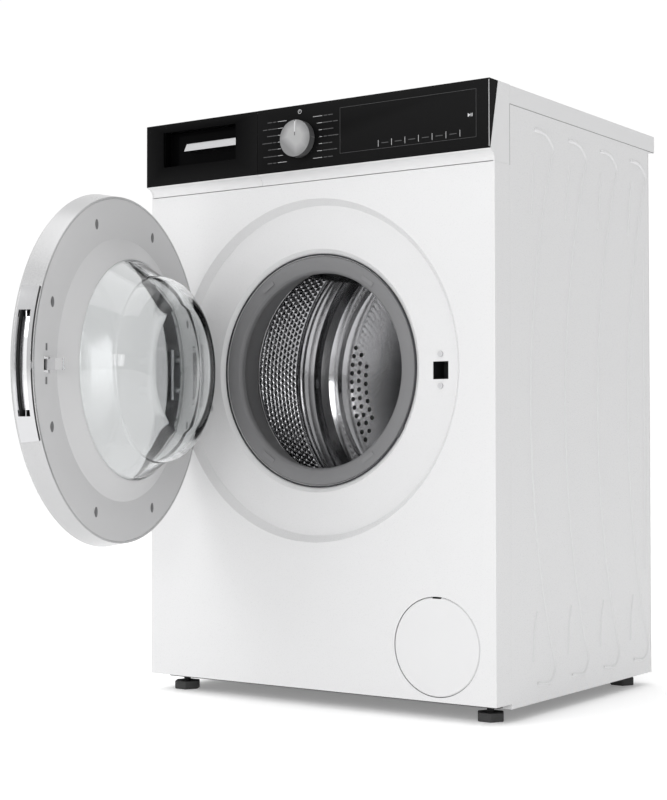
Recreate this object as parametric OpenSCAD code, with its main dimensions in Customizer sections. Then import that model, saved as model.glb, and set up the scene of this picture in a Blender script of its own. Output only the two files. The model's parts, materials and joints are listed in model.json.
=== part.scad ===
// Front load washing machine.
// X runs to the right, Y to the back and Z up. The origin is on the floor, under the middle of the cabinet.

/* [Cabinet] */
// Width across the side panels
body_w = 595; // [580:1:760]
// Height from the floor to the top of the worktop
body_h = 850; // [845:1:1050]
// Depth from the front panel to the back edge of the worktop
body_d = 508; // [500:1:640]
// Thickness of the steel sheets
sheet = 1; // [0.8:0.1:1.4]
// Height of the worktop
worktop_t = 26; // [20:1:34]
// How far the worktop reaches behind the rear panel
worktop_over = 24; // [20:1:40]
// Height of the control fascia, down to the front panel
fascia_h = 108; // [104:1:116]
// Height of the bottom edge of the front panel
skirt_z = 25; // [22:1:30]
// Height of the front panel's centre of the port
port_z = 474; // [466:1:500]

/* [Feet] */
// Height of a foot's pad
foot_h = 12; // [10:1:16]
// Width of a foot's pad across its corners
foot_w = 40; // [30:1:44]
// Radius of a foot's threaded stud
stud_r = 5; // [4:0.5:6]
// Distance from the cabinet's edges to the middle of a foot
foot_inset = 34; // [30:1:50]

/* [Port] */
// Radius of the sunk dish that the door closes into
dish_r = 243; // [243:0.5:246]
// Depth of the dish
dish_d = 11; // [10:0.5:13]
// Radius of the hole in the front panel
port_r = 163; // [160:0.5:168]
// Inner radius of the rubber gasket's lip
lip_r = 139; // [130:0.5:145]

/* [Door] */
// Radius of the door's outer ring
door_r = 239; // [196:0.5:240]
// Depth of the door's side wall
door_t = 27; // [24:0.5:32]
// Radius of the glass bowl at its flange
bowl_r = 149; // [140:0.5:152]
// Radius of the glass bowl's flat end
bowl_tip_r = 98; // [80:1:110]
// Depth of the glass bowl behind its flange
bowl_d = 76; // [60:1:80]
// Thickness of the glass
glass_t = 5; // [4:0.5:7]
// Angle that the door stands open by
door_open = 76.5; // [0:0.5:100]

/* [Drum] */
// Radius of the drum
drum_r = 243; // [200:1:244]
// Length of the drum
drum_l = 292; // [240:1:294]
// Radius of the drum's front mouth
mouth_r = 157; // [150:1:165]
// Height of the lifters inside the drum
lifter_h = 44; // [30:1:60]
// Free space between the drum and the tub
tub_gap = 12; // [10:1:13]
// Radius of the drum shaft
shaft_r = 12.5; // [10:0.5:15]
// Radius of the drum pulley
pulley_r = 140; // [100:1:150]
// Radius of the motor pulley
motor_pulley_r = 11; // [8:0.5:16]

/* [Fascia] */
// Width of the detergent drawer's front, from the side of the cabinet
drawer_w = 211; // [190:1:230]
// Length of the detergent tray behind its front
tray_l = 200; // [150:1:210]
// Radius of the programme knob
knob_r = 26; // [20:0.5:30]
// How far the knob stands out
knob_h = 12; // [8:0.5:16]
// Distance of the knob to the left of the cabinet's middle
knob_x = -10.5; // [-20:0.5:10]

/* [Filter] */
// Radius of the pump filter's round cover
filter_r = 66.5; // [60:0.5:72]
// Distance of the filter cover to the right of the cabinet's middle
filter_x = 206; // [195:1:215]
// Height of the filter cover's middle
filter_z = 98; // [95:1:110]

/* [Hidden] */
$fn = 96;

// Clearances: a pin in its hole, a moving part beside a fixed one, and a cover in its opening.
run = 0.05;
gap = 0.5;
cover_gap = 0.8;

front = -body_d / 2;
rear = body_d / 2 - worktop_over;
half_w = body_w / 2;
in_w = half_w - sheet;
side_front = front + 41;
side_z = foot_h + 6;
top_z = body_h - worktop_t;
fascia_z = body_h - fascia_h;
wall = 3;
flange = 14;

// The black glass is a wedge: upright in front, its back edge leaning away from the bottom to the top.
glass_h = 92.5;
glass_out = 12.5;
glass_lean = 22.5;
glass_foot = 1.5;
glass_z = body_h - glass_h;
seam_x = -half_w + drawer_w;

// The drum group, counted back from the front panel.
drum_y = front + 86;
drum_end = drum_y + drum_l;
tub_r = drum_r + tub_gap;
tub_y = front + 62;
tub_end = drum_end + 26;
tub_wall = 3;
hub_l = 38;
pulley_y = tub_end + hub_l + 3;
pulley_w = 12;
lifter_phase = 7;
plate_t = 1;
belt_t = 3;
motor_r = 52;
tub_split = drum_y + drum_l * 0.45;
seam_w = 8;
shell_y0 = drum_y + 18;
shell_y1 = drum_end - 34;
motor_x = 20;
motor_z = side_z + 45 + motor_r;
bearing_r = 26;

// The door's hinge line and its parts, in the closed position.
hinge_x = -door_r + 24;
hinge_y = front - 16.5;
door_z = port_z - 4;
door_back = front - 2;
door_front = door_back - door_t;
ear_z = 37;
ear_t = 6;
pin_r = 4;
knuckle_r = 7;
lock_x = 207;
lock_size = 24;
latch_z = port_z - 5;
handle_a = 16.5;
plate_a = 24;

knob_z = body_h - 49;
knob_shaft_r = 3;
tray_floor_z = fascia_z + 12;
tray_top_z = body_h - 54;
tray_x0 = -half_w + 20;
tray_x1 = seam_x - 12;
fill_x = -150;
fill_y = front + 164;
hose_z = tray_top_z - 12;
hose_r = 6;
grip_x0 = -half_w + 33.5;
grip_x1 = seam_x - 40;
grip_z0 = body_h - 65;
grip_z1 = body_h - 13;
grip_d = 20;

valve_x = 190;
valve_z = body_h - 70;
thread_r = 13.2;
drain_r = 10;
spring_x = tub_r - 40;
spring_y = 20;
damper_x = 130;
damper_y = 0;

foot_x = half_w - foot_inset;
foot_y0 = front + foot_inset + 10;
foot_y1 = rear - foot_inset;

transit_w = 300;
transit_h = 250;
transit_r = 9;
pocket_x = hinge_x - 8;
pocket_w = 36;
pocket_h = 104;
pocket_d = 8;
sump_x = 80;
lug_z = port_z + sqrt(pow(tub_r + tub_wall, 2) - pow(spring_x, 2)) + 16;
damper_top = port_z - sqrt(pow(tub_r + tub_wall, 2) - pow(damper_x - 9, 2)) - 4;
spout_top = port_z + sqrt(pow(tub_r + tub_wall, 2) - pow(fill_x + 20, 2)) + 2;
damper_z0 = side_z + sheet + wall;
damper_z1 = damper_z0 + 120;
damper_r = 17;
rod_r = 6;
heater_x = 24;
heater_r = 3.2;
heater_z = port_z - sqrt(pow(drum_r + tub_gap / 2, 2) - pow(heater_x, 2));
bearing_w = 10;
motor_shaft_l = pulley_y + pulley_w + 2 - tub_end + 40;
win_r = door_r - 52;
handle_half = door_r * sin(handle_a);
screw_ring_r = door_r - 34.5;
lever_y = door_front + 8;
lever_px = door_r - 20.5;
lever_pin_r = 2;
latch_y = door_back - 9;
latch_x = lock_x - 5;
// The cover's hinge line runs inside its plate, and its chamfer clears the panel as it swings.
cover_edge = 1.5;
cover_t = 2;
cover_hinge_y = front + cover_t / 2;
cover_hinge_z = filter_z - filter_r + 6;

// A flat outline in Y and Z, drawn out along X.
module along_x(x0, x1) {
    translate([x0, 0, 0]) rotate([90, 0, 90]) linear_extrude(x1 - x0) children();
}

// A profile of radius against Y, turned about a line along Y.
module turned(x, z) {
    translate([x, 0, z]) rotate([-90, 0, 0]) rotate_extrude() children();
}

// A round bar along Y.
module bar_y(x, y, z, r, l) {
    translate([x, y, z]) rotate([-90, 0, 0]) cylinder(r = r, h = l);
}

// A round bar along X.
module bar_x(x, y, z, r, l) {
    translate([x, y, z]) rotate([0, 90, 0]) cylinder(r = r, h = l);
}

// Three copies about the drum's axis.
module three_about_axis() {
    for (i = [0 : 2])
        translate([0, 0, port_z]) rotate([0, -120 * i - lifter_phase, 0]) children();
}

// Both sides of the machine.
module both_sides() {
    children();
    mirror([1, 0, 0]) children();
}

// Children drawn for the closed door, swung open about the hinge line.
module on_door() {
    translate([hinge_x, hinge_y, 0]) rotate([0, 0, -door_open]) translate([-hinge_x, -hinge_y, 0]) children();
}

// Outline of the four bowed ribs that stiffen a side panel, in Y and Z.
module side_ribs(rib_w) {
    bow = 971;
    for (i = [0 : 3])
        intersection() {
            translate([side_front + 56 + 102.5 * i + bow, top_z / 2 + 10]) difference() {
                circle(r = bow + rib_w / 2, $fn = 360);
                circle(r = bow - rib_w / 2, $fn = 360);
            }
            translate([side_front, side_z + 42]) square([body_d, top_z - side_z - 84]);
        }
}

module side_panel() {
    h = top_z - side_z;
    l = rear - side_front;
    translate([in_w, side_front, side_z]) cube([sheet, l, h]);
    translate([half_w - flange, side_front, side_z]) cube([flange, sheet, h]);
    translate([half_w - flange, rear - 2 * sheet, side_z]) cube([flange, sheet, h]);
    translate([half_w - flange, side_front, side_z]) cube([flange, l - sheet, sheet]);
    translate([half_w - flange, side_front, top_z - sheet]) cube([flange, l - sheet, sheet]);
    intersection() {
        along_x(half_w - sheet / 2, half_w + 0.6) side_ribs(5);
        translate([0, side_front, side_z]) cube([body_w, l, h]);
    }
}

module left_side_panel() {
    color("white") mirror([1, 0, 0]) side_panel();
}

module right_side_panel() {
    color("white") side_panel();
}

module rear_panel() {
    color("lightgray") difference() {
        union() {
            translate([-in_w, rear - sheet, side_z]) cube([2 * in_w, sheet, top_z - side_z]);
            translate([-in_w + 16, rear - 15, top_z - sheet]) cube([2 * in_w - 32, 15, sheet]);
            translate([-in_w + 16, rear - 15, side_z]) cube([2 * in_w - 32, 15, sheet]);
        }
        for (x = [-transit_w / 2, transit_w / 2], z = [-transit_h / 2, transit_h / 2])
            bar_y(x, rear - 5, port_z + z, transit_r, 10);
        bar_y(valve_x, rear - 5, valve_z, thread_r + cover_gap, 10);
        bar_y(filter_x, rear - 5, filter_z, drain_r + cover_gap, 10);
        bar_y(-valve_x, rear - 5, valve_z, 9 + cover_gap, 10);
    }
}

// Section of the round dish and the port's collar.
module dish_section() {
    ramp = 9;
    rim_r = port_r + 10;
    lip_d = dish_d + 6;
    polygon([[dish_r + 2, front], [dish_r, front], [dish_r - ramp, front + dish_d], [rim_r, front + dish_d],
        [port_r + 3, front + lip_d], [port_r, front + lip_d], [port_r, front + lip_d + 9],
        [port_r + sheet, front + lip_d + 9], [port_r + sheet, front + lip_d + sheet],
        [port_r + 3, front + lip_d + sheet], [rim_r, front + dish_d + sheet],
        [dish_r - ramp, front + dish_d + sheet], [dish_r, front + sheet], [dish_r + 2, front + sheet]]);
}

module hinge_pocket(inset, y0, y1) {
    translate([pocket_x + inset, front + dish_d + y0, door_z - pocket_h / 2 + inset])
        cube([pocket_w - 2 * inset, y1 - y0, pocket_h - 2 * inset]);
}

module front_panel() {
    h = fascia_z - skirt_z;
    color("white") difference() {
        union() {
            difference() {
                translate([-half_w, front, skirt_z]) cube([body_w, sheet, h]);
                bar_y(0, front - 5, port_z, dish_r + 1, 10);
            }
            both_sides() translate([in_w, front, skirt_z]) cube([sheet, side_front - front, h]);
            translate([-in_w, front, skirt_z]) cube([2 * in_w, 25, sheet]);
            translate([-in_w, front, fascia_z - sheet]) cube([2 * in_w, 20, sheet]);
            turned(0, port_z) dish_section();
            turned(filter_x, filter_z) translate([filter_r + cover_gap, front]) square([sheet, 12]);
            hinge_pocket(0, 0, pocket_d + sheet);
        }
        hinge_pocket(sheet, -1, pocket_d);
        translate([lock_x - lock_size / 2, front, latch_z - lock_size / 2])
            cube([lock_size, 20, lock_size]);
        for (z = [-21, 22])
            bar_y(lock_x, front, latch_z + z, 2.2, 20);
        bar_y(filter_x, front - 5, filter_z, filter_r + cover_gap, 10);
    }
}

module worktop() {
    color("white") translate([-half_w, side_front, top_z])
        cube([body_w, body_d / 2 - side_front, worktop_t]);
}

// Cross rails under the worktop, with a hanger for each spring.
module top_rails() {
    rail_x = half_w - flange;
    rail_h = 24;
    color("silver") {
        for (y = [side_front + 2, rear - 44])
            translate([-rail_x, y, top_z - rail_h]) cube([2 * rail_x, 26, 1.5]);
        for (y = [side_front + 2, rear - 44])
            translate([-rail_x, y + 12, top_z - rail_h]) cube([2 * rail_x, 1.5, rail_h]);
        both_sides() difference() {
            translate([spring_x - 14, spring_y - 12, top_z - rail_h]) cube([in_w - spring_x + 14, 24, rail_h - sheet]);
            translate([spring_x - 20, spring_y - 9, top_z - rail_h - 1]) cube([in_w - spring_x + 17, 18, rail_h - 4]);
        }
    }
}

module base_tray() {
    h = 16;
    boss_r = 14;
    tray_w = half_w - flange;
    tray_front = front + 27;
    color("dimgray") difference() {
        union() {
            difference() {
                translate([-tray_w, tray_front, side_z + sheet])
                    cube([2 * tray_w, rear - sheet - tray_front, h]);
                translate([-tray_w + wall, tray_front + wall, side_z + sheet + wall])
                    cube([2 * tray_w - 2 * wall, rear - tray_front - 3 * wall, h]);
            }
            for (x = [-foot_x, foot_x], y = [foot_y0, foot_y1])
                translate([x, y, side_z + sheet]) cylinder(r = boss_r, h = h + 10);
        }
        for (x = [-foot_x, foot_x], y = [foot_y0, foot_y1])
            translate([x, y, 0]) cylinder(r = stud_r + run, h = 80);
    }
}

// Section of the wedge that the black glass fills, in Y and Z.
module glass_section() {
    polygon([[front - glass_out, glass_z], [front - glass_out, body_h],
        [front - glass_out + glass_lean, body_h], [front - glass_out + glass_foot, glass_z]]);
}

// A black moulding: a front plate, a top strip and cheeks at the ends that are asked for.
module glass_cover(x0, x1, left_cheek, right_cheek) {
    intersection() {
        along_x(x0, x1) glass_section();
        union() {
            translate([x0, front - glass_out, glass_z]) cube([x1 - x0, wall, glass_h]);
            translate([x0, front - glass_out, body_h - wall]) cube([x1 - x0, glass_lean, wall]);
            if (left_cheek)
                translate([x0, front - glass_out, glass_z]) cube([wall, glass_lean, glass_h]);
            if (right_cheek)
                translate([x1 - wall, front - glass_out, glass_z]) cube([wall, glass_lean, glass_h]);
        }
    }
}

// White plate behind the glass, with the cove that runs back to the front panel.
module carrier_section() {
    cove = glass_out;
    difference() {
        polygon([[front - glass_out + glass_foot, glass_z], [front - glass_out + glass_lean, body_h],
            [front - glass_out + glass_lean + wall, body_h], [front + 4, glass_z + 20], [front + 4, fascia_z + sheet],
            [front, fascia_z + sheet], [front - glass_out, glass_z - sheet], [front - glass_out, glass_z]]);
        translate([front - glass_out, glass_z - sheet - cove]) circle(r = cove);
    }
}

module fascia_frame() {
    x0 = seam_x + gap / 2;
    cheek = 2.5;
    color("white") difference() {
        union() {
            along_x(x0, half_w - cheek) carrier_section();
            both_sides() along_x(half_w - cheek, half_w) intersection() {
                difference() {
                    polygon([[front - glass_out, glass_z], [front - glass_out + glass_foot, glass_z],
                        [front - glass_out + glass_lean, body_h], [side_front, body_h],
                        [side_front, fascia_z], [front, fascia_z], [front - glass_out, glass_z - sheet]]);
                    translate([front - glass_out, glass_z - sheet - glass_out]) circle(r = glass_out);
                }
                translate([front - glass_out, fascia_z]) square([side_front - front + glass_out, fascia_h]);
            }
            translate([-half_w, front - glass_out + glass_lean + 5, body_h - wall])
                cube([body_w, side_front - front + glass_out - glass_lean - 5, wall]);
            translate([x0, front - glass_out + glass_lean, body_h - wall]) cube([half_w - x0, 8, wall]);
        }
        bar_y(knob_x, front - 20, knob_z, knob_shaft_r + 1, 60);
    }
}

module fascia_glass() {
    color("black") difference() {
        glass_cover(seam_x + gap / 2, half_w, false, true);
        bar_y(knob_x, front - 20, knob_z, knob_shaft_r + run, 60);
    }
}

// Circuit board in its case, with the selector that the knob turns.
module control_board() {
    x0 = seam_x + 20;
    x1 = half_w - 20;
    board_y = front + 17;
    color("darkgreen") difference() {
        union() {
            translate([x0, board_y, fascia_z + 20]) cube([x1 - x0, 14, fascia_h - 34]);
            bar_y(knob_x, board_y - 5, knob_z, 12, 6);
        }
        bar_y(knob_x, board_y - 10, knob_z, knob_shaft_r + run, 40);
    }
}

// Open-fronted box that the tray slides in.
module drawer_housing() {
    side = 2;
    clear = 2;
    y0 = front + 16;
    l = tray_l + 14;
    x0 = tray_x0 - clear - side;
    x1 = tray_x1 + clear + side;
    z0 = tray_floor_z - clear - side;
    z1 = tray_top_z + clear + side;
    color("gainsboro") difference() {
        union() {
            translate([x0, y0, z0]) cube([x1 - x0, l, z1 - z0]);
            translate([fill_x, fill_y, z0 - 6]) cylinder(r = 16, h = 8);
            bar_y(fill_x, y0 + l - 1, hose_z, hose_r, 9);
        }
        translate([x0 + side, y0 - 1, z0 + side]) cube([x1 - x0 - 2 * side, l + 1 - side, z1 - z0 - 2 * side]);
        translate([fill_x, fill_y, z0 - 10]) cylinder(r = 13, h = 20);
        bar_y(fill_x, y0 + l - 10, hose_z, hose_r - 2, 30);
    }
}

// Valve with its threaded stub through the rear panel.
module inlet_valve() {
    stub_l = 16;
    color("white") difference() {
        union() {
            bar_y(valve_x, rear - 30, valve_z, thread_r, 30 + stub_l);
            bar_y(valve_x, rear - sheet - 4, valve_z, thread_r + 5, 4);
            translate([valve_x - 16, rear - 62, valve_z - 14]) cube([32, 36, 32]);
            bar_x(valve_x - 34, rear - 48, hose_z, hose_r, 20);
        }
        bar_y(valve_x, rear - 40, valve_z, thread_r - 4, 80);
    }
}

// Hose from the valve to the drawer housing, and the ribbed hose from the housing down to the tub.
module fill_hoses() {
    hose_y = rear - 48;
    z = hose_z;
    end_y = front + 16 + tray_l + 14 + 8;
    top = tray_floor_z - 10;
    low = spout_top;
    ribs = 5;
    pitch = (top - low) / ribs;
    color("dimgray") {
        bar_x(fill_x, hose_y, z, hose_r, valve_x - 34 - fill_x);
        translate([fill_x, hose_y, z]) sphere(r = hose_r);
        bar_y(fill_x, end_y, z, hose_r, hose_y - end_y);
        translate([fill_x, fill_y, low]) rotate_extrude() polygon(concat([[13, 0]],
            [for (i = [0 : ribs - 1]) each [[16, pitch * i], [20, pitch * (i + 0.5)]]],
            [[16, top - low], [13, top - low]]));
    }
}

module hinge_bracket() {
    plate_y = front + dish_d + pocket_d - 2;
    color("silver") difference() {
        union() {
            translate([pocket_x + 2, plate_y, door_z - pocket_h / 2 + 3]) cube([pocket_w - 4, 2, pocket_h - 6]);
            for (z = [door_z - ear_z - ear_t, door_z + ear_z]) {
                translate([hinge_x - 5, hinge_y, z]) cube([10, plate_y - hinge_y + 1, ear_t]);
                translate([hinge_x, hinge_y, z]) cylinder(r = 6, h = ear_t);
            }
        }
        translate([hinge_x, hinge_y, door_z - 80]) cylinder(r = pin_r, h = 160);
    }
}

module hinge_pin() {
    l = 2 * (ear_z + ear_t);
    color("silver") translate([hinge_x, hinge_y, door_z - l / 2]) cylinder(r = pin_r, h = l);
}

// Door lock behind the front panel, with the slot that takes the latch hook.
module door_lock() {
    y0 = front + dish_d + sheet;
    color("dimgray") difference() {
        translate([lock_x - 20, y0, latch_z - 34]) cube([36, 32, 68]);
        translate([lock_x - lock_size / 2, y0 - 1, latch_z - lock_size / 2]) cube([lock_size, 29, lock_size]);
        for (z = [-21, 22])
            bar_y(lock_x, y0 - 1, latch_z + z, 2, 10);
    }
}

// Screws of the lock, and of the rear panel's corners.
module cabinet_screws() {
    color("silver") {
        for (z = [-21, 22]) {
            bar_y(lock_x, front + dish_d - 2, latch_z + z, 4, 2);
            bar_y(lock_x, front + dish_d, latch_z + z, 2, 8);
        }
        for (x = [-half_w + 8, half_w - 8], z = [side_z + 40, (side_z + top_z) / 2, top_z - 40])
            bar_y(x, rear, z, 4, 2);
    }
}

// Rubber bellows between the front panel and the tub's mouth.
module door_gasket() {
    lip_y = front + dish_d + 6;
    end_y = tub_y + 14;
    color("gray") turned(0, port_z) polygon([
        [port_r - 0.3, lip_y - 1], [port_r - 10, lip_y - 3], [lip_r + 3, lip_y - 1], [lip_r, lip_y + 3],
        [lip_r, lip_y + 10], [lip_r + 5, lip_y + 16], [lip_r + 9, lip_y + 30], [mouth_r - 4, end_y],
        [mouth_r - 0.4, end_y], [mouth_r - 0.4, end_y - 10], [lip_r + 13, lip_y + 30], [lip_r + 9, lip_y + 14],
        [port_r - 5, lip_y + 10], [port_r - 0.3, lip_y + 8]]);
}

// Wire band that holds the gasket on the port's collar, with its tension link.
module gasket_band() {
    wire = 1.2;
    band_r = port_r + 2;
    band_y = front + dish_d + 4.6;
    link_a = -32;
    color("silver") {
        turned(0, port_z) translate([band_r, band_y]) circle(r = wire, $fn = 24);
        translate([band_r * cos(link_a), band_y - 0.4, port_z + band_r * sin(link_a)]) rotate([0, -link_a, 0])
            translate([-1, -1, -9]) cube([3, 2, 18]);
    }
}

// Pump with the filter chamber that opens at the front.
module drain_pump() {
    chamber_r = 38;
    y0 = front + 22;
    l = 96;
    color("dimgray") difference() {
        union() {
            bar_y(filter_x, y0, filter_z, chamber_r, l);
            bar_y(filter_x, y0 + l - 1, filter_z, 30, 50);
            bar_x(filter_x - chamber_r - 20, y0 + 60, filter_z, 15, 30);
            translate([filter_x - 20, y0 + 30, side_z + sheet + wall]) cube([40, 50, filter_z - side_z - 40]);
            bar_y(filter_x, y0 + l + 40, filter_z, 13, 24);
        }
        bar_y(filter_x, y0 - 1, filter_z, chamber_r - wall, l - 10);
        bar_x(filter_x - chamber_r - 30, y0 + 60, filter_z, 12, 40);
    }
}

// Rigid drain pipe from the pump to its spigot at the back.
module drain_hose() {
    y0 = front + 22 + 96 + 64;
    color("gray") difference() {
        union() {
            bar_y(filter_x, y0, filter_z, 13, rear - 6 - y0);
            bar_y(filter_x, y0, filter_z, drain_r, rear + 20 - y0);
        }
        bar_y(filter_x, y0 + 5, filter_z, drain_r - 3, 600);
    }
}

// Hose from the bottom of the tub to the pump.
module sump_hose() {
    x = sump_x;
    y = front + 82;
    top = port_z - sqrt(pow(tub_r + tub_wall, 2) - pow(x, 2)) - 8;
    color("black") {
        translate([x, y, filter_z]) cylinder(r = 15, h = top - filter_z);
        translate([x, y, filter_z]) sphere(r = 15);
        bar_x(x, y, filter_z, 15, filter_x - 38 - 20 - x);
    }
}

// Mains filter inside the rear panel, with the gland that its lead leaves through.
module mains_inlet() {
    color("dimgray") difference() {
        union() {
            translate([-valve_x - 24, rear - 52, valve_z - 20]) cube([48, 40, 40]);
            bar_y(-valve_x, rear - 14, valve_z, 9, 24);
            bar_y(-valve_x, rear, valve_z, 13, 3);
        }
        bar_y(-valve_x, rear - 10, valve_z, 4.5, 40);
    }
}

// A round wire wound upwards about Z.
module coil(coil_r, wire_r, l, turns) {
    sides = 6;
    per_turn = 12;
    n = turns * per_turn;
    function ring(i) = [for (s = [0 : sides - 1])
        let (a = 360 * i / per_turn, r = coil_r + wire_r * cos(360 * s / sides))
        [r * cos(a), r * sin(a), l * i / n + wire_r * sin(360 * s / sides)]];
    points = [for (i = [0 : n]) each ring(i)];
    skin = [for (i = [0 : n - 1], s = [0 : sides - 1]) let (t = (s + 1) % sides)
        [i * sides + s, i * sides + t, (i + 1) * sides + t, (i + 1) * sides + s]];
    polyhedron(points, concat(skin, [[for (s = [0 : sides - 1]) sides - 1 - s]],
        [[for (s = [0 : sides - 1]) n * sides + s]]));
}

module suspension_springs() {
    coil_r = 11;
    wire_r = 1.8;
    z0 = lug_z + wire_r;
    color("silver") both_sides()
        translate([spring_x, spring_y, z0]) coil(coil_r, wire_r, top_z - 24 - wire_r - z0, 9);
}

module damper_cylinders() {
    color("black") both_sides() difference() {
        translate([damper_x, damper_y, damper_z0]) cylinder(r = damper_r, h = damper_z1 - damper_z0);
        translate([damper_x, damper_y, damper_z0 + 20]) cylinder(r = rod_r + run, h = 200);
    }
}

module damper_rods() {
    color("silver") both_sides()
        translate([damper_x, damper_y, damper_z0 + 50]) cylinder(r = rod_r, h = damper_top - damper_z0 - 50);
}

// Section of half a tub: the drum's free space and the wall around it.
module tub_half_section(y0, y1) {
    translate([tub_r, y0]) square([tub_wall, y1 - y0]);
}

module tub_front() {
    spout_z = port_z + sqrt(pow(tub_r + tub_wall, 2) - pow(fill_x, 2));
    color("whitesmoke") difference() {
        union() {
            turned(0, port_z) {
                tub_half_section(tub_y, tub_split);
                translate([mouth_r, tub_y]) square([tub_r - mouth_r + 1, tub_wall]);
                translate([mouth_r, tub_y]) square([tub_wall, 16]);
                translate([tub_r, tub_split - 6]) square([seam_w, 6]);
            }
            difference() {
                translate([fill_x, fill_y, spout_z - 30]) cylinder(r = 13, h = spout_top - spout_z + 30);
                bar_y(0, front, port_z, tub_r + 1, body_d);
            }
        }
        translate([fill_x, fill_y, port_z]) cylinder(r = 10, h = body_h);
    }
}

// Rear half of the tub, with the bearing hub, the spring and damper lugs and the motor arms.
module tub_rear() {
    motor_y = tub_end - 96;
    color("whitesmoke") difference() {
        union() {
            turned(0, port_z) {
                tub_half_section(tub_split, tub_end);
                translate([0, tub_end - 4]) square([tub_r + 1, 4]);
                translate([0, tub_end - 4]) square([bearing_r + 10, hub_l + 4]);
                translate([tub_r, tub_split]) square([seam_w, 6]);
            }
            difference() {
                union() {
                    both_sides() {
                        translate([spring_x - 14, spring_y - 8, lug_z - 40]) cube([28, 16, 40]);
                        translate([damper_x - 9, damper_y - 9, damper_top]) cube([18, 18, 26]);
                    }
                    for (x = [motor_x - 30, motor_x + 18])
                        translate([x, motor_y, motor_z + 36]) cube([12, 80, port_z - tub_r - motor_z]);
                }
                bar_y(0, front, port_z, tub_r + 1, body_d);
                bar_y(motor_x, front, motor_z, motor_r, body_d);
            }
        }
        bar_y(0, tub_end - 10, port_z, bearing_r, hub_l + 20);
        for (x = [-heater_x, heater_x])
            bar_y(x, tub_end - 10, heater_z, heater_r, 20);
    }
}

module heater() {
    l = drum_l * 0.6;
    color("silver") {
        for (x = [-heater_x, heater_x])
            bar_y(x, tub_end + 8 - l, heater_z, heater_r, l);
        bar_x(-heater_x, tub_end + 8 - l, heater_z, heater_r, 2 * heater_x);
        translate([-heater_x - 8, tub_end, heater_z - 6]) cube([2 * heater_x + 16, 3, 12]);
    }
}

// Two cast weights on the front of the tub, clear of the lock and the hinge at the sides.
module front_counterweights() {
    side_clear = 60;
    t = tub_y - front - dish_d - 20;
    color("darkgray") difference() {
        turned(0, port_z) translate([port_r + 16, tub_y - t]) square([tub_r - port_r - 24, t]);
        translate([-body_w, front, port_z - side_clear]) cube([2 * body_w, body_d, 2 * side_clear]);
    }
}

module top_counterweight() {
    w = 150;
    l = 150;
    h = 62;
    color("darkgray") difference() {
        translate([-60, front + 120, port_z + tub_r - 6]) cube([w, l, h + 6]);
        bar_y(0, front, port_z, tub_r + tub_wall, body_d);
        bar_y(0, tub_split - 7, port_z, tub_r + seam_w, 14);
    }
}

// Two bearings in the tub's hub, and the seal in front of them.
module bearings_and_seal() {
    color("silver") for (y = [tub_end - 9, tub_end + 2, tub_end + hub_l - 12])
        turned(0, port_z) translate([shaft_r + run, y]) square([bearing_r - shaft_r - run, bearing_w]);
}

module motor() {
    l = 84;
    y0 = tub_end - 98;
    color("dimgray") difference() {
        bar_y(motor_x, y0, motor_z, motor_r, l);
        bar_y(motor_x, y0 + 6, motor_z, 6 + run, l);
    }
}

module motor_pulley() {
    color("silver") {
        bar_y(motor_x, tub_end - 40, motor_z, 6, motor_shaft_l);
        bar_y(motor_x, pulley_y, motor_z, motor_pulley_r, pulley_w);
    }
}

module drum_pulley() {
    color("silver") turned(0, port_z) {
        translate([pulley_r - 6, pulley_y]) square([6, pulley_w]);
        translate([shaft_r, pulley_y]) square([14, pulley_w]);
        translate([shaft_r + 1, pulley_y + 4]) square([pulley_r - shaft_r - 2, 4]);
    }
}

// Outline of a loop about both pulleys, at a distance outside them.
module belt_outline(out) {
    dx = motor_x;
    dz = motor_z - port_z;
    d = sqrt(dx * dx + dz * dz);
    turn = atan2(dz, dx);
    lean = acos((pulley_r - motor_pulley_r) / d);
    big = pulley_r + out;
    small = motor_pulley_r + out;
    circle(r = big);
    translate([dx, dz]) circle(r = small);
    function on_big(s) = [big * cos(turn + s * lean), big * sin(turn + s * lean)];
    function on_small(s) = [dx + small * cos(turn + s * lean), dz + small * sin(turn + s * lean)];
    polygon([on_big(1), on_small(1), on_small(-1), on_big(-1)]);
}

module drive_belt() {
    color("black") translate([0, pulley_y + 1.5, port_z]) rotate([90, 0, 0]) mirror([0, 0, 1])
        linear_extrude(pulley_w - 3) difference() {
            belt_outline(belt_t + 0.3);
            belt_outline(0.3);
        }
}

// Section of the drum's front, from its rolled lip out to the shell.
module drum_front() {
    color("silver") turned(0, port_z) polygon([
        [mouth_r, drum_y + 3], [mouth_r + 1, drum_y - 1], [mouth_r + 4, drum_y - 2], [mouth_r + 8, drum_y + 1],
        [mouth_r + 45, drum_y + 6], [drum_r - 4, drum_y + 10], [drum_r, drum_y + 15], [drum_r, shell_y0],
        [drum_r - plate_t, shell_y0], [drum_r - plate_t, drum_y + 15.5], [drum_r - 5, drum_y + 11],
        [mouth_r + 44, drum_y + 7], [mouth_r + 7, drum_y + 2], [mouth_r + 4, drum_y - 1], [mouth_r + 2, drum_y + 3]]);
}

module drum_shell() {
    color("silver") turned(0, port_z)
        translate([drum_r - plate_t, shell_y0]) square([plate_t, shell_y1 - shell_y0]);
}

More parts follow.
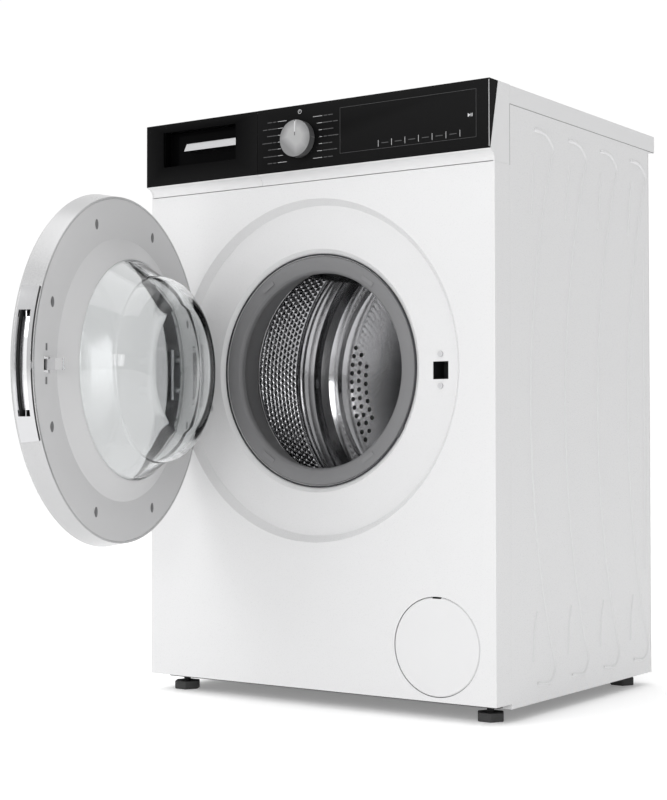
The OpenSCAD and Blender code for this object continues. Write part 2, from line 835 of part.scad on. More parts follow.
// Rear plate with its rolled shoulder, and three fans of drain holes between the spider's arms.
module drum_rear() {
    hole_r = 3.8;
    hole_pitch = 14.4;
    rows = [[drum_r - 55, 12], [drum_r - 69, 10], [drum_r - 83, 7]];
    color("silver") difference() {
        turned(0, port_z) polygon([
            [drum_r, shell_y1], [drum_r, shell_y1 + 4], [drum_r - 3, drum_end - 18], [drum_r - 13, drum_end - 8],
            [drum_r - 29, drum_end - 6], [drum_r - 34, drum_end], [0, drum_end], [0, drum_end - plate_t],
            [drum_r - 35, drum_end - plate_t], [drum_r - 30, drum_end - 7], [drum_r - 14, drum_end - 9],
            [drum_r - 4, drum_end - 18], [drum_r - plate_t, shell_y1 + 4], [drum_r - plate_t, shell_y1]]);
        three_about_axis() for (row = rows, i = [0 : row[1] - 1])
            rotate([0, -60 - (i - (row[1] - 1) / 2) * hole_pitch / row[0] * 180 / PI, 0])
                bar_y(row[0], drum_end - 5, 0, hole_r, 10);
    }
}

// Three lifters on the inside of the shell.
module drum_lifters() {
    base_w = 60;
    crest_w = 22;
    l = shell_y1 - shell_y0 - 24;
    base_r = drum_r - plate_t;
    color("dimgray") three_about_axis() translate([0, shell_y0 + 12 + l, 0]) rotate([90, 0, 0]) linear_extrude(l)
        intersection() {
            circle(r = base_r);
            polygon([[base_r, base_w / 2], [base_r - 8, base_w / 2], [base_r - lifter_h, crest_w / 2],
                [base_r - lifter_h, -crest_w / 2], [base_r - 8, -base_w / 2], [base_r, -base_w / 2]]);
        }
}

// Cast three-armed spider with the drum shaft.
module drum_spider() {
    arm_w = 26;
    arm_t = 10;
    hub_t = 14;
    color("silver") {
        bar_y(0, drum_end, port_z, bearing_r - 2, hub_t);
        bar_y(0, drum_end, port_z, shaft_r, pulley_y + pulley_w + 2 - drum_end);
        three_about_axis() translate([0, drum_end, -arm_w / 2]) cube([drum_r - 38, arm_t, arm_w]);
    }
}

// Radius of the outside of the door's side wall at a given Y.
function rim_r(y) = door_r - 5 * (y - door_front) / door_t;

// Everything that has to leave the door's side wall free.
module rim_cuts() {
    for (s = [-1, 1])
        translate([-door_r - 5, door_front, door_z + s * (ear_z + ear_t / 2) - ear_t / 2 - 1])
            cube([door_r + hinge_x + 10, door_t + 5, ear_t + 2]);
    translate([door_r - 30, door_front + 3, door_z - handle_half])
        cube([60, door_t - 8, 2 * handle_half]);
}

module door_rim() {
    color("silver") on_door() difference() {
        turned(0, door_z) polygon([
            [rim_r(door_back), door_back], [door_r, door_front], [door_r - 3, door_front - 4],
            [door_r - 14, door_front - 9], [win_r, door_front - 11], [win_r, door_front - 8],
            [door_r - 15, door_front - 6], [door_r - 6, door_front - 2], [door_r - 4, door_front + 1],
            [rim_r(door_back) - 3, door_back]]);
        rim_cuts();
    }
}

module door_inner_frame() {
    outer = rim_r(door_back) - 3;
    ring_r = bowl_r + 29;
    color("lightgray") on_door() difference() {
        turned(0, door_z) polygon([
            [outer, door_back - wall], [outer, door_back], [ring_r, door_back], [bowl_r + 4, door_back + 15],
            [bowl_r, door_back + 16], [bowl_r, door_back + 11], [bowl_r + 3, door_back + 11],
            [ring_r - 1, door_back - wall]]);
        translate([-door_r, door_back - 10, door_z - ear_z - ear_t - 2])
            cube([door_r + hinge_x + 9, 20, 2 * (ear_z + ear_t + 2)]);
        translate([lock_x - 13, door_back - 10, latch_z - 10]) cube([14, 20, 20]);
        for (a = [22.5 : 45 : 360])
            bar_y(screw_ring_r * cos(a), door_back - 2, door_z + screw_ring_r * sin(a), 4, 10);
    }
}

// Outside of the glass bowl: its radius falls from the flange to the flat end in a rounded curve.
function bowl_at(t, inset) = [
    bowl_tip_r - inset + (bowl_r - bowl_tip_r) * pow(1 - pow(t, 2.6), 1 / 1.7),
    door_back + 14 + (bowl_d - inset) * t];

module door_glass() {
    n = 10;
    outside = [for (i = [0 : n]) bowl_at(i / n, 0)];
    inside = [for (i = [n : -1 : 0]) bowl_at(i / n, glass_t)];
    flange_y = door_back + 1;
    color("lightblue", 0.5) on_door() turned(0, door_z) polygon(concat(
        [[bowl_r + 11, flange_y], [bowl_r + 11, flange_y + 4], [bowl_r, flange_y + 4]],
        outside, [[0, door_back + 14 + bowl_d], [0, door_back + 14 + bowl_d - glass_t]],
        inside, [[bowl_r - glass_t, flange_y]]));
}

module door_window() {
    color("dimgray", 0.7) on_door() turned(0, door_z) polygon([
        [0, door_front - 15], [win_r * 0.6, door_front - 14], [win_r, door_front - 10], [win_r, door_front - 7],
        [win_r * 0.6, door_front - 10], [0, door_front - 11]]);
}

// A wedge about the door's middle on its free side.
module free_side_wedge(half_a) {
    reach = 2 * door_r;
    translate([0, 0, door_z]) rotate([90, 0, 0]) translate([0, 0, -body_d]) linear_extrude(2 * body_d)
        polygon([[0, 0], [reach * cos(half_a), -reach * sin(half_a)], [reach * cos(half_a), reach * sin(half_a)]]);
}

// Bright plate around the handle's opening, with the pocket behind it.
module handle_plate() {
    skin = 2.5;
    pocket_x1 = rim_r(door_back) - 22;
    y0 = door_front + 1;
    y1 = door_back - 1;
    color("silver") on_door() difference() {
        union() {
            intersection() {
                turned(0, door_z) polygon([[rim_r(y0), y0], [rim_r(y0) + skin, y0 + 1],
                    [rim_r(y1) + skin, y1 - 1], [rim_r(y1), y1]]);
                free_side_wedge(plate_a);
            }
            intersection() {
                translate([pocket_x1, door_front + 3, door_z - handle_half])
                    cube([60, door_t - 8, 2 * handle_half]);
                turned(0, door_z) translate([0, door_front]) square([rim_r(door_back), door_t]);
            }
        }
        translate([pocket_x1 + 2, door_front + 5, door_z - handle_half + 2])
            cube([80, door_t - 12, 2 * handle_half - 4]);
        translate([lever_px, lever_y, door_z - handle_half - 1])
            cylinder(r = lever_pin_r + run, h = 2 * handle_half + 2);
    }
}

// Pull lever in the door's handle pocket, pivoted on an upright pin.
module door_handle() {
    lever_r = door_r - 8;
    pin_half = handle_half - 0.3;
    arm_z = handle_half - 12;
    color("silver") on_door() {
        translate([lever_px, lever_y, door_z - pin_half]) cylinder(r = lever_pin_r, h = 2 * pin_half);
        intersection() {
            turned(0, door_z) translate([lever_r - 2.5, lever_y - 2]) square([2.5, 10]);
            free_side_wedge(handle_a - 2);
        }
        for (z = [-arm_z, arm_z - 6])
            translate([lever_px - 1, lever_y - 1.5, door_z + z]) cube([lever_r - lever_px - 8, 3, 6]);
    }
}

module latch_hook() {
    reach = 24;
    color("silver") on_door() {
        translate([latch_x, latch_y, latch_z - 9]) cylinder(r = 2.5, h = 18);
        translate([latch_x, latch_y, latch_z - 7]) linear_extrude(14)
            polygon([[-2.5, 0], [2.5, 0], [2.5, reach], [7, reach + 1], [3, reach + 9], [-2.5, reach + 9]]);
    }
}

// Hinge leaf on the door, with the knuckle that turns on the pin.
module hinge_arm() {
    leaf_l = 46;
    knuckle_h = 2 * ear_z - 2 * gap;
    color("silver") on_door() difference() {
        union() {
            translate([hinge_x, hinge_y, door_z - knuckle_h / 2]) cylinder(r = knuckle_r, h = knuckle_h);
            translate([hinge_x, hinge_y - 5, door_z - knuckle_h / 2]) cube([leaf_l, 4, knuckle_h]);
            for (z = [-22, 22])
                bar_y(hinge_x + 34, hinge_y - 2, door_z + z, 6, door_back - wall - hinge_y + 2);
        }
        translate([hinge_x, hinge_y, door_z - 80]) cylinder(r = pin_r + run, h = 160);
    }
}

module program_knob() {
    back = front - glass_out - gap;
    color("silver") difference() {
        union() {
            bar_y(knob_x, back - knob_h, knob_z, knob_r, knob_h);
            bar_y(knob_x, back - 1, knob_z, knob_shaft_r, glass_out + gap + 30);
        }
        translate([knob_x - 0.8, back - knob_h - 1, knob_z + 4]) cube([1.6, 1.5, knob_r]);
    }
}

// Opening for the fingers in the drawer's front.
module grip_opening(out) {
    translate([grip_x0 - out, front - 30, grip_z0 - out])
        cube([grip_x1 - grip_x0 + 2 * out, 60, grip_z1 - grip_z0 + 2 * out]);
}

module drawer_front() {
    color("white") difference() {
        along_x(-half_w + 2.5 + gap, seam_x - gap / 2) carrier_section();
        grip_opening(2);
    }
}

module drawer_glass() {
    color("black") difference() {
        glass_cover(-half_w, seam_x - gap / 2, true, false);
        grip_opening(0);
    }
}

// Tray with three compartments: main wash, softener and prewash.
module drawer_tray() {
    side = 2;
    y0 = front + 9.5;
    l = front + 16 + tray_l - y0;
    h = tray_top_z - tray_floor_z;
    w = tray_x1 - tray_x0;
    cell_w = (w - 4 * side) / 3;
    pocket_y = 24;
    color("gainsboro") difference() {
        translate([tray_x0, y0, tray_floor_z]) cube([w, l, h]);
        for (i = [0 : 2])
            translate([tray_x0 + side + i * (cell_w + side), y0 + pocket_y, tray_floor_z + side])
                cube([cell_w, l - pocket_y - side, h]);
    }
}

// Finger pocket of the drawer, with the slanted bright bar inside it.
module drawer_grip() {
    bar_l = 99;
    y0 = front - 8;
    color("dimgray") {
        difference() {
            translate([grip_x0 - 2, y0, grip_z0 - 2])
                cube([grip_x1 - grip_x0 + 4, grip_d - 4, grip_z1 - grip_z0 + 4]);
            translate([grip_x0, y0 - 1, grip_z0])
                cube([grip_x1 - grip_x0, grip_d - 5, grip_z1 - grip_z0]);
        }
        along_x(grip_x1 - bar_l, grip_x1) polygon([[y0 + 1, body_h - 44], [y0 + 2.5, body_h - 44],
            [y0 + grip_d - 6, body_h - 34], [y0 + grip_d - 6, body_h - 32]]);
    }
}

module filter_cover() {
    color("white") difference() {
        union() {
            turned(filter_x, filter_z) polygon([[0, front], [filter_r - cover_edge, front],
                [filter_r, front + cover_edge], [filter_r, front + cover_t], [0, front + cover_t]]);
            bar_x(filter_x - 18, cover_hinge_y, cover_hinge_z, 1.5, 36);
        }
        translate([filter_x - 20, front - 5, cover_hinge_z - 5]) cube([40, 5, 10]);
        translate([filter_x - 7, front - 1, filter_z + filter_r - 2]) cube([14, 4, 4]);
    }
}

module filter_plug() {
    plug_r = 38 - wall - run;
    y0 = front + 22;
    color("gray") {
        bar_y(filter_x, y0 - 6, filter_z, plug_r, 30);
        translate([filter_x - 5, y0 - 15, filter_z - 24]) cube([10, 10, 48]);
    }
}

// A foot: a six-sided pad with a threaded stud that screws into the base tray.
module foot(x, y) {
    color("black") translate([x, y, 0]) {
        cylinder(r = foot_w / 2, h = foot_h, $fn = 6);
        cylinder(r = stud_r, h = side_z + 24);
    }
}

module front_left_foot() {
    foot(-foot_x, foot_y0);
}

module front_right_foot() {
    foot(foot_x, foot_y0);
}

module rear_left_foot() {
    foot(-foot_x, foot_y1);
}

module rear_right_foot() {
    foot(foot_x, foot_y1);
}

left_side_panel();
right_side_panel();
rear_panel();
front_panel();
worktop();
top_rails();
base_tray();
fascia_frame();
fascia_glass();
control_board();
drawer_housing();
inlet_valve();
fill_hoses();
hinge_bracket();
hinge_pin();
door_lock();
cabinet_screws();
door_gasket();
gasket_band();
drain_pump();
drain_hose();
sump_hose();
mains_inlet();
suspension_springs();
damper_cylinders();
tub_front();
tub_rear();
front_counterweights();
top_counterweight();
bearings_and_seal();
motor();
drive_belt();
heater();
damper_rods();
drum_front();
drum_shell();
drum_rear();
drum_lifters();
drum_spider();
drum_pulley();
motor_pulley();
door_rim();
door_inner_frame();
door_glass();
door_window();
handle_plate();
hinge_arm();
door_handle();
latch_hook();
program_knob();
drawer_front();
drawer_glass();
drawer_tray();
drawer_grip();
filter_cover();
filter_plug();
front_left_foot();
front_right_foot();
rear_left_foot();
rear_right_foot();
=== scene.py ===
"""Looks of a front load washing machine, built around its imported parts."""

import json
import math

import bpy
from mathutils import Matrix, Vector


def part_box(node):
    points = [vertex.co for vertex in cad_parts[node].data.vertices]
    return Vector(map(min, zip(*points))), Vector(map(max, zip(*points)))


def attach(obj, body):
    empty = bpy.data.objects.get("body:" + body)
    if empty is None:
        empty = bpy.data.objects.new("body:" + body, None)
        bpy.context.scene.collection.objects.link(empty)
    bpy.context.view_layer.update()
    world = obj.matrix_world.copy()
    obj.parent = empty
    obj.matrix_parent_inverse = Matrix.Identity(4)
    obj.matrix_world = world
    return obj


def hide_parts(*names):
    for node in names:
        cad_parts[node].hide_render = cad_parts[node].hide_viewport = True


bl_info = {
    "name": "Front load washing machine",
    "version": (1, 0, 0),
    "blender": (4, 5, 0),
    "location": "View3D > Sidebar > Washer",
    "description": "Builds the visible pieces and finishes of a front load washing machine",
    "category": "Object",
}

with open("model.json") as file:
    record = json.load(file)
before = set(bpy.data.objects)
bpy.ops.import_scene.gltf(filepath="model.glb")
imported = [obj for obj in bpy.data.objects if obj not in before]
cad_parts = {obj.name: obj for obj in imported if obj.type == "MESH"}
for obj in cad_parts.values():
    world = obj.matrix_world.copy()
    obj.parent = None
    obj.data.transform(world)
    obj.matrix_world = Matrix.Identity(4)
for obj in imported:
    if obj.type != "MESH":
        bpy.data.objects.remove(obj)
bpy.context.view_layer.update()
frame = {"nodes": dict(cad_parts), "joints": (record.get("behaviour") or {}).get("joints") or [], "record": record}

# Rings nearer to a turning line than this are drawn into one point.
POLE = 0.0006
# How far a side panel's flat skin lies inside the panel's box.
SKIN = 0.0006
# Thickness of the side panels' sheet.
SHEET = 0.0012
# Depth of the pressed dimple around each drum hole.
DIMPLE = 0.0011
# Thickness of a printed mark.
PRINT = 0.0002


def joint_named(name):
    """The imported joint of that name."""
    for joint in frame["joints"]:
        if joint["name"] == name:
            return joint
    raise ValueError("no joint named " + name)


DOOR_JOINT = joint_named("door_hinge")
HINGE = Vector(DOOR_JOINT["pos_m"])
DOOR_ANGLE = math.radians(-DOOR_JOINT["range_deg"][0])
PANEL_LOW, PANEL_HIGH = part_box("front_panel")
FRONT = PANEL_LOW.y
SIDE_LOW, SIDE_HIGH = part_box("right_side_panel")
DRUM_LOW, DRUM_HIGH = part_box("drum_shell")
DRUM_RADIUS = (DRUM_HIGH.z - DRUM_LOW.z) / 2
PORT = Vector((0, FRONT, (DRUM_HIGH.z + DRUM_LOW.z) / 2))
DRUM_CENTRE = Vector((0, 0, PORT.z))
RIM_LOW, RIM_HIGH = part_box("door_rim")
DOOR_RADIUS = (RIM_HIGH.z - RIM_LOW.z) / 2
DOOR = Vector((0, FRONT, (RIM_HIGH.z + RIM_LOW.z) / 2))
GLASS_LOW, GLASS_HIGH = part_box("fascia_glass")
KNOB_LOW, KNOB_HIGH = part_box("program_knob")


class WasherSizes(bpy.types.PropertyGroup):
    """Sizes of the pieces that the looks add."""

    port_radius: bpy.props.FloatProperty(
        name="Port radius",
        description="Radius of the hole that the gasket fills",
        default=0.163,
        unit="LENGTH",
    )
    rib_height: bpy.props.FloatProperty(
        name="Rib height",
        description="Height of the pressed ribs on the side panels",
        default=0.0040,
        unit="LENGTH",
    )
    hole_pitch: bpy.props.FloatProperty(
        name="Hole pitch",
        description="Distance between the drum's holes",
        default=0.0098,
        unit="LENGTH",
    )
    bowl_radius: bpy.props.FloatProperty(
        name="Bowl radius",
        description="Radius of the glass bowl at its flange",
        default=0.149,
        unit="LENGTH",
    )
    bowl_tip_radius: bpy.props.FloatProperty(
        name="Bowl tip radius",
        description="Radius of the bowl's flat end",
        default=0.098,
        unit="LENGTH",
    )
    bowl_depth: bpy.props.FloatProperty(
        name="Bowl depth",
        description="Depth of the glass bowl",
        default=0.076,
        unit="LENGTH",
    )


class WasherColours(bpy.types.PropertyGroup):
    """Colours that a user would change."""

    body: bpy.props.FloatVectorProperty(
        name="Body",
        description="Enamel of the cabinet",
        default=(0.72, 0.72, 0.725),
        subtype="COLOR",
    )
    fascia: bpy.props.FloatVectorProperty(
        name="Fascia",
        description="Gloss black of the fascia",
        default=(0.0022, 0.0022, 0.0024),
        subtype="COLOR",
    )
    door_ring: bpy.props.FloatVectorProperty(
        name="Door ring",
        description="Satin metallic ring of the door",
        default=(0.52, 0.52, 0.525),
        subtype="COLOR",
    )
    gasket: bpy.props.FloatVectorProperty(
        name="Gasket",
        description="Rubber of the door gasket",
        default=(0.19, 0.19, 0.195),
        subtype="COLOR",
    )


def sizes():
    """The scene's sizes."""
    return bpy.context.scene.washer_sizes


def colours():
    """The scene's colours."""
    return bpy.context.scene.washer_colours


# Materials


def new_material(name):
    """A fresh node material with its shader and the object's own coordinates."""
    material = bpy.data.materials.new(name)
    material.use_nodes = True
    nodes = material.node_tree.nodes
    coords = nodes.new("ShaderNodeTexCoord")
    return material, nodes, material.node_tree.links, nodes["Principled BSDF"], coords


def noise(nodes, links, coords, scale, detail=4.0, stretch=(1, 1, 1)):
    """Noise on object coordinates, stretched along the axes."""
    mapping = nodes.new("ShaderNodeMapping")
    mapping.inputs["Scale"].default_value = stretch
    texture = nodes.new("ShaderNodeTexNoise")
    texture.inputs["Scale"].default_value = scale
    texture.inputs["Detail"].default_value = detail
    links.new(coords.outputs["Object"], mapping.inputs["Vector"])
    links.new(mapping.outputs["Vector"], texture.inputs["Vector"])
    return texture.outputs["Fac"]


def spread(nodes, links, source, low, high):
    """Maps noise to a range of values."""
    node = nodes.new("ShaderNodeMapRange")
    node.inputs["From Min"].default_value = 0.3
    node.inputs["From Max"].default_value = 0.7
    node.inputs["To Min"].default_value = low
    node.inputs["To Max"].default_value = high
    links.new(source, node.inputs["Value"])
    return node.outputs["Result"]


def shade(colour, factor):
    """A colour made lighter or darker, with full alpha."""
    return tuple(min(1.0, part * factor) for part in colour) + (1.0,)


def surface(name, colour, rough=0.4, metal=0.0, grain=400.0, bump=0.05, edge_lightening=0.12, stretch=(1, 1, 1),
            vary=0.06,
            shine=0.5):
    """A finish with colour variation, roughness detail, fine bump and a lighter colour on sharp convex edges."""
    material, nodes, links, shader, coords = new_material(name)
    fine = noise(nodes, links, coords, grain, 5.0, stretch)
    broad = noise(nodes, links, coords, 6.0, 3.0)
    mix = nodes.new("ShaderNodeMix")
    mix.data_type = "RGBA"
    mix.inputs["A"].default_value = shade(colour, 1 - vary)
    mix.inputs["B"].default_value = shade(colour, 1 + vary)
    links.new(broad, mix.inputs["Factor"])
    # Sharp convex edges, found by pointiness, are mixed towards a lighter colour.
    edge = nodes.new("ShaderNodeMapRange")
    edge.inputs["From Min"].default_value = 0.51
    edge.inputs["From Max"].default_value = 0.58
    edge.inputs["To Max"].default_value = edge_lightening
    geometry = nodes.new("ShaderNodeNewGeometry")
    links.new(geometry.outputs["Pointiness"], edge.inputs["Value"])
    lighter_edges = nodes.new("ShaderNodeMix")
    lighter_edges.data_type = "RGBA"
    lighter_edges.inputs["B"].default_value = shade([0.5 + 0.5 * part for part in colour], 1.0)
    links.new(edge.outputs["Result"], lighter_edges.inputs["Factor"])
    links.new(mix.outputs["Result"], lighter_edges.inputs["A"])
    links.new(lighter_edges.outputs["Result"], shader.inputs["Base Color"])
    links.new(spread(nodes, links, fine, rough * 0.85, min(1.0, rough * 1.15)), shader.inputs["Roughness"])
    shader.inputs["Metallic"].default_value = metal
    shader.inputs["Specular IOR Level"].default_value = shine
    relief = nodes.new("ShaderNodeBump")
    relief.inputs["Strength"].default_value = bump
    relief.inputs["Distance"].default_value = 0.0004
    links.new(fine, relief.inputs["Height"])
    links.new(relief.outputs["Normal"], shader.inputs["Normal"])
    return material


def glass(name, colour, rough):
    """Clear or tinted glass with a faint unevenness."""
    material = surface(name, colour, rough=rough, grain=60.0, bump=0.01, edge_lightening=0.0, vary=0.01)
    shader = material.node_tree.nodes["Principled BSDF"]
    shader.inputs["Transmission Weight"].default_value = 1.0
    shader.inputs["IOR"].default_value = 1.46
    return material


MATERIALS = {}


def make_materials():
    """Every finish of the machine, by the record's slot or by the name of an added finish."""
    body = tuple(colours().body)
    steel = (0.62, 0.62, 0.63)
    made = {
        "white_enamel": surface("white_enamel", body, rough=0.30, grain=900.0, bump=0.06, edge_lightening=0.05,
                                vary=0.008),
        "white_plastic": surface("white_plastic", body, rough=0.34, grain=1500.0, bump=0.05, edge_lightening=0.05,
                                 vary=0.01),
        "white_worktop": surface("white_worktop", body, rough=0.42, grain=2200.0, bump=0.12, edge_lightening=0.05,
                                 vary=0.01),
        "zinc_steel": surface("zinc_steel", steel, rough=0.38, metal=1.0, grain=120.0, bump=0.06, vary=0.10),
        "dark_plastic": surface("dark_plastic", (0.012, 0.012, 0.013), rough=0.55, grain=1800.0, bump=0.2),
        "black_gloss": surface("black_gloss", tuple(colours().fascia), rough=0.16, grain=300.0,
                               bump=0.01, edge_lightening=0.02,
                                shine=0.02),
        "circuit_board": surface("circuit_board", (0.02, 0.12, 0.05), rough=0.35, grain=700.0, bump=0.3),
        "black_rubber": surface("black_rubber", (0.02, 0.02, 0.02), rough=0.8, grain=1200.0, bump=0.25),
        "grey_rubber": surface("grey_rubber", tuple(colours().gasket), rough=0.62, grain=1600.0,
                               bump=0.12, edge_lightening=0.05),
        "chrome": surface("chrome", (0.86, 0.86, 0.87), rough=0.07, metal=1.0, grain=200.0, bump=0.01,
                          vary=0.02),
        "grey_plastic": surface("grey_plastic", (0.20, 0.20, 0.21), rough=0.5, grain=1800.0, bump=0.15),
        "concrete": surface("concrete", (0.30, 0.30, 0.29), rough=0.9, grain=260.0, bump=0.7, vary=0.2),
        "drum_steel": surface("drum_steel", steel, rough=0.11, metal=1.0, grain=90.0, bump=0.02, vary=0.04,
                              stretch=(1, 12, 1)),
        "cast_alloy": surface("cast_alloy", (0.55, 0.56, 0.57), rough=0.5, metal=1.0, grain=500.0, bump=0.3),
        "motor_iron": surface("motor_iron", (0.05, 0.05, 0.055), rough=0.5, metal=0.6, grain=500.0, bump=0.3),
        "silver_satin": surface("silver_satin", tuple(colours().door_ring), rough=0.28, metal=0.75,
                                grain=2400.0,
                                bump=0.04, edge_lightening=0.2, vary=0.03),
        "light_grey_plastic": surface("light_grey_plastic", (0.60, 0.60, 0.605), rough=0.42,
                                      grain=2000.0, bump=0.08,
                                      edge_lightening=0.08, vary=0.02),
        "clear_glass": glass("clear_glass", (0.97, 0.985, 0.985), 0.01),
        "smoked_glass": glass("smoked_glass", (0.66, 0.665, 0.67), 0.06),
        # Light grey of the printed marks, also used for the painted highlight down the fascia's right edge.
        "print_and_highlight_white": surface("print_and_highlight_white", (0.62, 0.62, 0.63), rough=0.5, grain=900.0, bump=0.02,
                               edge_lightening=0.0),
        "print_grey": surface("print_grey", (0.045, 0.045, 0.047), rough=0.4, grain=900.0, bump=0.02,
                              edge_lightening=0.0),
        "plate_metal": surface("plate_metal", (0.60, 0.60, 0.61), rough=0.14, metal=1.0, grain=900.0,
                               bump=0.02,
                               vary=0.05),
        # Painted shade for the screw wells and slots of the door's inner frame.
        "painted_shade_grey": surface("painted_shade_grey", (0.16, 0.16, 0.165), rough=0.5, grain=900.0, bump=0.05, edge_lightening=0.0),
        "seam_grey": surface("seam_grey", (0.24, 0.24, 0.24), rough=0.6, grain=900.0, bump=0.05, edge_lightening=0.0),
        "knob_metal": surface("knob_metal", (0.13, 0.13, 0.133), rough=0.36, metal=0.5, grain=2400.0,
                              bump=0.04,
                              edge_lightening=0.5, vary=0.03),
    }
    MATERIALS.update(made)


# Modelling helpers


def clear():
    """Leaves edit mode and deselects everything."""
    if bpy.context.object and bpy.context.object.mode != "OBJECT":
        bpy.ops.object.mode_set(mode="OBJECT")
    bpy.ops.object.select_all(action="DESELECT")


def pick(obj):
    """Makes one object the only selected and active one."""
    clear()
    obj.select_set(True)
    bpy.context.view_layer.objects.active = obj
    return obj


def apply_place(obj):
    """Puts the object's place, turn and scale into its mesh."""
    pick(obj)
    bpy.ops.object.transform_apply(location=True, rotation=True, scale=True)
    return obj


def edit(obj):
    """Opens the object in edit mode with everything selected."""
    pick(obj)
    bpy.ops.object.mode_set(mode="EDIT")
    bpy.ops.mesh.select_all(action="SELECT")


def close_edit():
    """Leaves edit mode."""
    bpy.ops.object.mode_set(mode="OBJECT")


def fix_normals(obj):
    """Merges doubles and turns every face outwards."""
    edit(obj)
    bpy.ops.mesh.remove_doubles(threshold=1e-6)
    bpy.ops.mesh.normals_make_consistent(inside=False)
    close_edit()


def modify(obj, kind, **settings):
    """Adds a modifier and applies it."""
    pick(obj)
    modifier = obj.modifiers.new(kind.lower(), kind)
    for key, value in settings.items():
        setattr(modifier, key, value)
    bpy.ops.object.modifier_apply(modifier=modifier.name)
    return obj


def bevelled(obj, width, segments=2, angle=35):
    """Rounds every edge sharper than an angle."""
    return modify(obj, "BEVEL", width=width, segments=segments, limit_method="ANGLE",
                  angle_limit=math.radians(angle), use_clamp_overlap=True)


def cut(obj, cutter, operation="DIFFERENCE"):
    """Cuts one object with another, which is then removed."""
    modify(obj, "BOOLEAN", object=cutter, operation=operation, solver="EXACT")
    bpy.data.objects.remove(cutter)
    return obj


def joined(objects):
    """Joins objects into the first one."""
    clear()
    for obj in objects:
        obj.select_set(True)
    bpy.context.view_layer.objects.active = objects[0]
    bpy.ops.object.join()
    return bpy.context.object


def block(low, high, bevel=0.0):
    """A box between two corners, with rounded edges if asked for."""
    clear()
    low, high = Vector(low), Vector(high)
    bpy.ops.mesh.primitive_cube_add(size=1, location=(low + high) / 2)
    obj = bpy.context.object
    obj.scale = high - low
    apply_place(obj)
    if bevel:
        bevelled(obj, bevel)
    return obj


def rod(centre, radius, length, axis="Y", sides=64, bevel=0.0):
    """A round bar about an axis, starting at a centre point and running along the axis."""
    clear()
    turn = {"X": (0, math.pi / 2, 0), "Y": (-math.pi / 2, 0, 0), "Z": (0, 0, 0)}[axis]
    along = {"X": (1, 0, 0), "Y": (0, 1, 0), "Z": (0, 0, 1)}[axis]
    middle = Vector(centre) + Vector(along) * length / 2
    bpy.ops.mesh.primitive_cylinder_add(vertices=sides, radius=radius, depth=length, location=middle,
                                        rotation=turn)
    obj = apply_place(bpy.context.object)
    if bevel:
        bevelled(obj, bevel)
    return obj


def lathe(profile, centre, steps=160):
    """Turns a closed profile of (radius, y) about a line along Y through a centre, ring by ring."""
    clear()
    radius, y = profile[0]
    bpy.ops.mesh.primitive_circle_add(vertices=steps, radius=radius, location=(centre.x, y, centre.z),
                                      rotation=(math.pi / 2, 0, 0))
    obj = apply_place(bpy.context.object)
    edit(obj)
    for next_radius, next_y in list(profile[1:]) + [profile[0]]:
        bpy.ops.mesh.extrude_region_move(TRANSFORM_OT_translate={"value": (0, next_y - y, 0)})
        factor = next_radius / radius
        bpy.ops.transform.resize(value=(factor, factor, factor))
        radius, y = next_radius, next_y
    close_edit()
    close_poles(obj, centre)
    fix_normals(obj)
    return obj


def close_poles(obj, centre):
    """Draws rings that are next to the turning line into one point each."""
    edit(obj)
    bpy.ops.mesh.select_all(action="DESELECT")
    bpy.ops.object.mode_set(mode="OBJECT")
    near = [v for v in obj.data.vertices if math.hypot(v.co.x - centre.x, v.co.z - centre.z) < POLE]
    for vertex in near:
        vertex.select = True
    bpy.ops.object.mode_set(mode="EDIT")
    if near:
        bpy.ops.mesh.remove_doubles(threshold=2 * POLE)
        bpy.ops.mesh.select_all(action="SELECT")
        bpy.ops.mesh.dissolve_degenerate(threshold=1e-5)
        bpy.ops.mesh.delete_loose()
    close_edit()


def repaint(obj, material, wanted):
    """Gives the faces whose middle meets a rule a second finish."""
    obj.data.materials.append(MATERIALS[material])
    index = len(obj.data.materials) - 1
    for face in obj.data.polygons:
        if wanted(face.center):
            face.material_index = index
    return obj


def on_closed_door(point):
    """Where a point of the open door lies when the door is shut."""
    turn = Matrix.Translation(HINGE) @ Matrix.Rotation(DOOR_ANGLE, 4, "Z") @ Matrix.Translation(-HINGE)
    return turn @ point


def swing_open(obj):
    """Turns a piece drawn on the closed door about the hinge line to where the door stands."""
    turn = Matrix.Translation(HINGE) @ Matrix.Rotation(-DOOR_ANGLE, 4, "Z") @ Matrix.Translation(-HINGE)
    obj.matrix_world = turn @ obj.matrix_world
    return apply_place(obj)


def finished(obj, name, body, material, instead_of=(), smooth=35):
    """Names a piece, smooths it, gives it its finish and lets it ride on its body."""
    apply_place(obj)
    bpy.ops.object.shade_smooth_by_angle(angle=math.radians(smooth))
    modify(obj, "WEIGHTED_NORMAL", keep_sharp=True)
    obj.name = name
    obj.data.materials.clear()
    obj.data.materials.append(MATERIALS[material])
    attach(obj, body)
    if instead_of:
        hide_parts(*instead_of)
    return obj


def refined(node, name, body, material, bevel, segments=3):
    """A copy of a CAD node with merged faces and rounded edges, shown in its place."""
    clear()
    source = frame["nodes"][node]
    source.select_set(True)
    bpy.context.view_layer.objects.active = source
    bpy.ops.object.duplicate()
    obj = bpy.context.object
    obj.parent = None
    edit(obj)
    bpy.ops.mesh.remove_doubles(threshold=1e-6)
    bpy.ops.mesh.dissolve_limited(angle_limit=math.radians(0.5))
    close_edit()
    bevelled(obj, bevel, segments, 30)
    return finished(obj, name, body, material, (node,), 40)


